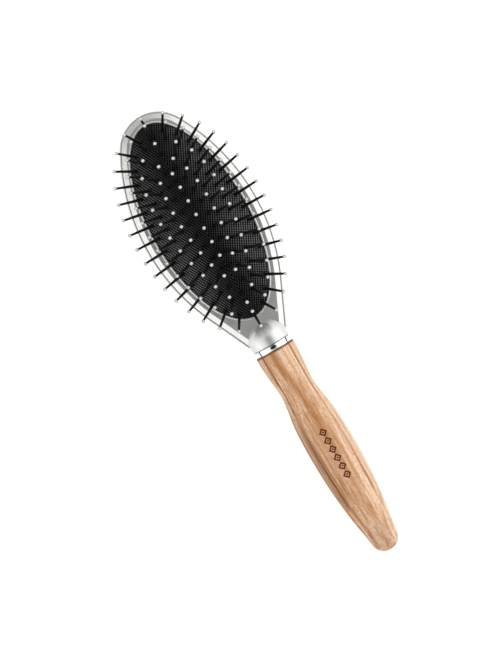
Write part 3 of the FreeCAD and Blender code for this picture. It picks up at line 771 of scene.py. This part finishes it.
def make_handle(material):
    """Turned wooden handle with its grooves, rounded end, spigot and bore."""
    rings = [
        handle_ring(BORE_END_Y, radius=BORE_RADIUS),
        handle_ring(SPIGOT_TOP_Y, radius=BORE_RADIUS),
        handle_ring(SPIGOT_TOP_Y, radius=SPIGOT_RADIUS),
        handle_ring(HANDLE_TOP_Y, radius=SPIGOT_RADIUS),
        handle_ring(HANDLE_TOP_Y, inset=HANDLE_EDGE),
        handle_ring(HANDLE_TOP_Y - HANDLE_EDGE * 0.3, inset=HANDLE_EDGE * 0.3),
        handle_ring(HANDLE_TOP_Y - HANDLE_EDGE),
    ]
    y = HANDLE_TOP_Y - HANDLE_EDGE - RING_PITCH
    round_y = HANDLE_END_Y + HANDLE_END_ROUND
    while y > round_y:
        rings.append(handle_ring(y))
        y -= RING_PITCH
    for step in range(END_STEPS):
        angle = math.pi / 2 * step / (END_STEPS - 1)
        inset = HANDLE_END_ROUND * (1 - math.cos(angle))
        rings.append(handle_ring(round_y - HANDLE_END_ROUND * math.sin(angle), inset=inset))
    count = len(rings[0])
    points = [point for ring in rings for point, _ in ring]
    shares = [share for ring in rings for _, share in ring]
    faces = []
    for number in range(len(rings) - 1):
        first = [number * count + i for i in range(count)]
        bridge(faces, first, [i + count for i in first])
    faces = [tuple(reversed(f)) for f in faces]
    # discs that close the bore's bottom and the handle's end
    faces.append(tuple(range(count)))
    faces.append(tuple(reversed(range(len(points) - count, len(points)))))
    piece = mesh_object("handle_wood", points, faces, material, sharp=40)
    attribute = piece.data.attributes.new(GROOVE_ATTRIBUTE, "FLOAT", "POINT")
    attribute.data.foreach_set("value", shares)
    return piece


# ---------------------------------------------------------------- stage, camera and light

CAMERA_TURN = math.radians(-30.2)
CAMERA_EYE = Vector((0.0, 44.5, 907.0))
CAMERA_TARGET = Vector((-6.0, 4.7, 14.0))
CAMERA_LENS = 101.4
CAMERA_SENSOR = 36.0


def make_camera():
    """Looks down on the brush, turned so that the brush lies aslant in the picture."""
    eye, target = CAMERA_EYE * MM, CAMERA_TARGET * MM
    back = (eye - target).normalized()
    up = Vector((-math.sin(CAMERA_TURN), math.cos(CAMERA_TURN), 0))
    right = up.cross(back).normalized()
    up = back.cross(right)
    data = bpy.data.cameras.new("camera")
    data.lens = CAMERA_LENS
    data.sensor_width = CAMERA_SENSOR
    camera = bpy.data.objects.new("camera", data)
    turned = Matrix((right, up, back)).transposed().to_4x4()
    camera.matrix_world = Matrix.Translation(eye) @ turned
    bpy.context.scene.collection.objects.link(camera)
    bpy.context.scene.camera = camera


LIGHT_TURN = math.radians(6)
LEFT_GLOW = 1.7
RIGHT_GLOW = 1.9


def make_light():
    """A white studio: a large soft source low on each side, and a dim ceiling."""
    world = bpy.data.worlds.new("studio")
    world.use_nodes = True
    tree = world.node_tree
    way = node(tree, "ShaderNodeTexCoord").outputs["Generated"]
    side = (math.cos(LIGHT_TURN), math.sin(LIGHT_TURN), 0)
    lean = node(tree, "ShaderNodeVectorMath", {0: way, 1: side}, operation="DOT_PRODUCT").outputs[1]
    _, ahead, height = node(tree, "ShaderNodeSeparateXYZ", {0: way}).outputs
    right = ramp(tree, lean, [(0.28, 0.0), (0.80, 1.0)])
    left_lean = maths(tree, "MULTIPLY", lean, -1.0)
    left = ramp(tree, left_lean, [(0.28, 0.0), (0.69, 0.5), (0.95, 1.0)])
    left_glow = maths(tree, "MULTIPLY", left, LEFT_GLOW)
    glow = maths(tree, "ADD", left_glow, maths(tree, "MULTIPLY", right, RIGHT_GLOW))
    # both sources are dimmer towards the head's end
    far = ramp(tree, ahead, [(0.0, 1.0), (0.4, 0.85), (0.9, 0.40)])
    ceiling = ramp(tree, height, [(0.0, 0.10), (0.5, 0.40), (0.9, 0.80)])
    glow = maths(tree, "ADD", maths(tree, "MULTIPLY", glow, far), ceiling)
    # a dark spot straight above, much as a camera there would make
    spot = ramp(tree, height, [(0.93, 1.0), (0.972, 0.03)])
    background = tree.nodes["Background"]
    background.inputs["Color"].default_value = (1.0, 1.0, 1.0, 1)
    feed(tree, background.inputs["Strength"], maths(tree, "MULTIPLY", glow, spot))
    bpy.context.scene.world = world
    bpy.context.scene.view_settings.view_transform = "Standard"


FLOOR_SIZE = 6.0
FLOOR_DROP = 0.0002  # in metres, so that the floor doesn't cut into the brush's flat back


def make_floor():
    """A plain pale floor, lit a little from within so that it shows white."""
    material, tree, shader = new_material("floor_white")
    mottle = noise(tree, position(tree), scale=0.02)
    surface(tree, shader, ramp(tree, mottle, [(0.3, 0.88), (0.7, 0.90)]), 0.95)
    shader.inputs["Emission Color"].default_value = (1, 1, 1, 1)
    shader.inputs["Emission Strength"].default_value = 0.5
    bpy.ops.mesh.primitive_plane_add(size=FLOOR_SIZE)
    floor = bpy.context.object
    floor.name = "floor"
    floor.location.z = -FLOOR_DROP
    floor.data.materials.append(material)


make_camera()
make_light()
make_floor()

SILVER = silver_paint()
PIN_BLACK = black_plastic("pin_nylon", 0.004, 0.45)
FRAME_BLACK = black_plastic("ring_plastic", 0.03, 0.5)
TIPS = tip_nylon()
CHROME = chrome()
STEEL = metal("zinc_steel", (0.62, 0.62, 0.60), 0.3)
BRASS = metal("turned_brass", (0.78, 0.58, 0.28), 0.25)
for name in ("head_frame", "back_shell"):
    cad_material(name, SILVER)
for ring in RINGS:
    cad_material(f"{ring}_pins", PIN_BLACK)
    cad_material(f"{ring}_tips", TIPS)
cad_material("retaining_ring", FRAME_BLACK)
cad_material("chrome_band", CHROME)
cad_material("threaded_insert", BRASS)
for name in ("ring_screws", "captive_nut", "joining_stud"):
    cad_material(name, STEEL)

cushion = make_cushion(woven_rubber())
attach(cushion, "body")
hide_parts("cushion_pad")
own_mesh(cushion)

handle = make_handle(wood())
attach(handle, "body")
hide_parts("handle")
